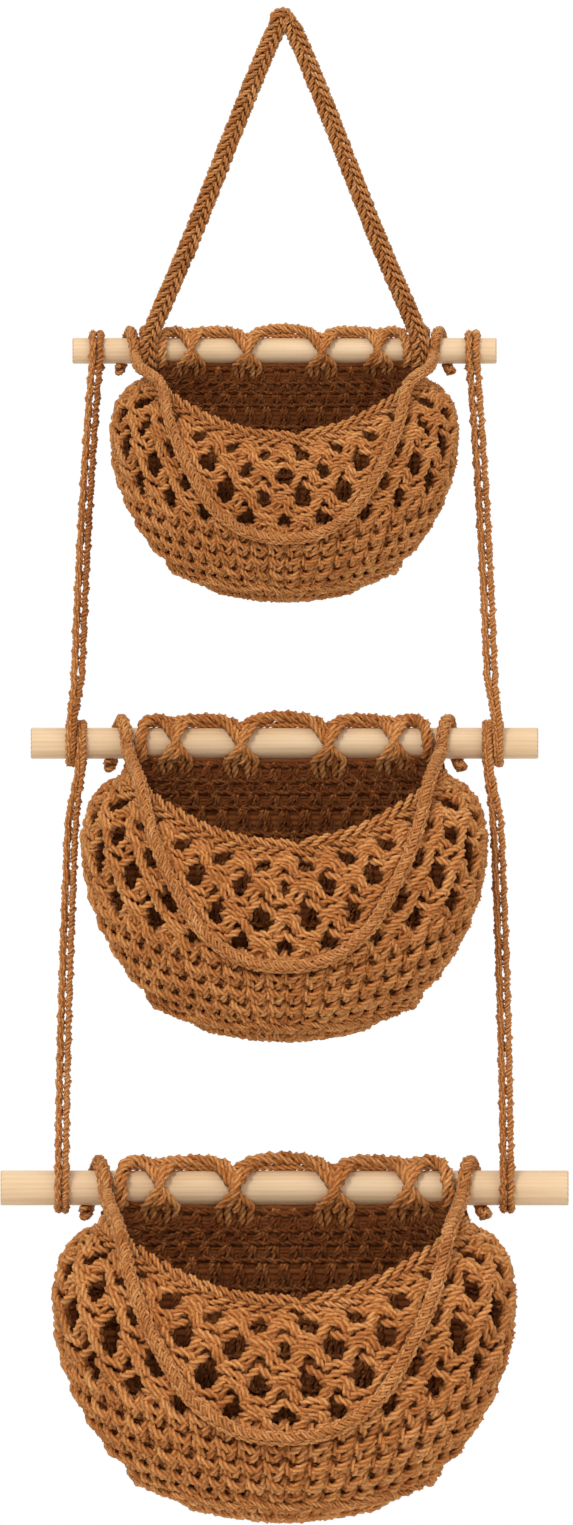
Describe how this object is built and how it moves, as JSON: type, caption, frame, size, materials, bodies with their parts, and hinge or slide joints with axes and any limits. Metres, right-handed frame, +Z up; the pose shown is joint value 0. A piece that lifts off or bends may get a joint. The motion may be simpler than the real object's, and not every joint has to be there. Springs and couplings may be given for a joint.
{
  "type": "hanging fruit basket",
  "caption": "Tiered hanging fruit basket: crocheted cotton half-bowl pouches hung on wooden dowels, joined by side cords under a triangular hanging loop.",
  "frame": {"origin": "inside crook of the hanging loop, where a hook carries it", "axes": "+Z up, +X to the right as seen from the front, the baskets face -Y"},
  "size_m": [0.375, 0.1715, 1.0066],
  "materials": {
    "cord": "matte twisted cotton cord",
    "crochet": "matte crocheted cotton cord",
    "dowel": "plain sanded pale wood"
  },
  "bodies": {
    "hanging_loop": {"hanging_loop": "cord"},
    "upper_dowel": {"upper_dowel": "dowel"},
    "upper_basket": {"upper_basket": "crochet", "upper_rim_braid": "crochet", "upper_edge_chain": "crochet", "upper_dowel_loops": "crochet"},
    "upper_strap": {"upper_front_strap": "cord"},
    "upper_side_cords": {"left_upper_side_cord": "cord", "right_upper_side_cord": "cord"},
    "middle_dowel": {"middle_dowel": "dowel"},
    "middle_basket": {"middle_basket": "crochet", "middle_rim_braid": "crochet", "middle_edge_chain": "crochet", "middle_dowel_loops": "crochet"},
    "middle_strap": {"middle_front_strap": "cord"},
    "lower_side_cords": {"left_lower_side_cord": "cord", "right_lower_side_cord": "cord"},
    "lower_dowel": {"lower_dowel": "dowel"},
    "lower_basket": {"lower_basket": "crochet", "lower_rim_braid": "crochet", "lower_edge_chain": "crochet", "lower_dowel_loops": "crochet"},
    "lower_strap": {"lower_front_strap": "cord"}
  },
  "joints": [
    {"name": "upper_dowel_roll", "type": "hinge", "parent": "hanging_loop", "child": "upper_dowel", "pos_m": [0, 0, -0.217], "axis": [-1, 0, 0], "continuous": true},
    {"name": "upper_basket_swing", "type": "hinge", "parent": "hanging_loop", "child": "upper_basket", "pos_m": [0, 0, -0.217], "axis": [-1, 0, 0], "range_deg": [0, 30]},
    {"name": "upper_strap_lift", "type": "hinge", "parent": "upper_basket", "child": "upper_strap", "pos_m": [0, 0, -0.217], "axis": [-1, 0, 0], "range_deg": [0, 45]},
    {"name": "upper_cords_swing", "type": "hinge", "parent": "hanging_loop", "child": "upper_side_cords", "pos_m": [0, 0, -0.217], "axis": [-1, 0, 0], "range_deg": [0, 45]},
    {"name": "middle_dowel_roll", "type": "hinge", "parent": "upper_side_cords", "child": "middle_dowel", "pos_m": [0, 0, -0.48], "axis": [-1, 0, 0], "continuous": true},
    {"name": "middle_basket_swing", "type": "hinge", "parent": "upper_side_cords", "child": "middle_basket", "pos_m": [0, 0, -0.48], "axis": [-1, 0, 0], "range_deg": [0, 30]},
    {"name": "middle_strap_lift", "type": "hinge", "parent": "middle_basket", "child": "middle_strap", "pos_m": [0, 0, -0.48], "axis": [-1, 0, 0], "range_deg": [0, 45]},
    {"name": "lower_cords_swing", "type": "hinge", "parent": "upper_side_cords", "child": "lower_side_cords", "pos_m": [0, 0, -0.48], "axis": [-1, 0, 0], "range_deg": [0, 45]},
    {"name": "lower_dowel_roll", "type": "hinge", "parent": "lower_side_cords", "child": "lower_dowel", "pos_m": [0, 0, -0.778], "axis": [-1, 0, 0], "continuous": true},
    {"name": "lower_basket_swing", "type": "hinge", "parent": "lower_side_cords", "child": "lower_basket", "pos_m": [0, 0, -0.778], "axis": [-1, 0, 0], "range_deg": [0, 30]},
    {"name": "lower_strap_lift", "type": "hinge", "parent": "lower_basket", "child": "lower_strap", "pos_m": [0, 0, -0.778], "axis": [-1, 0, 0], "range_deg": [0, 45]}
  ]
}
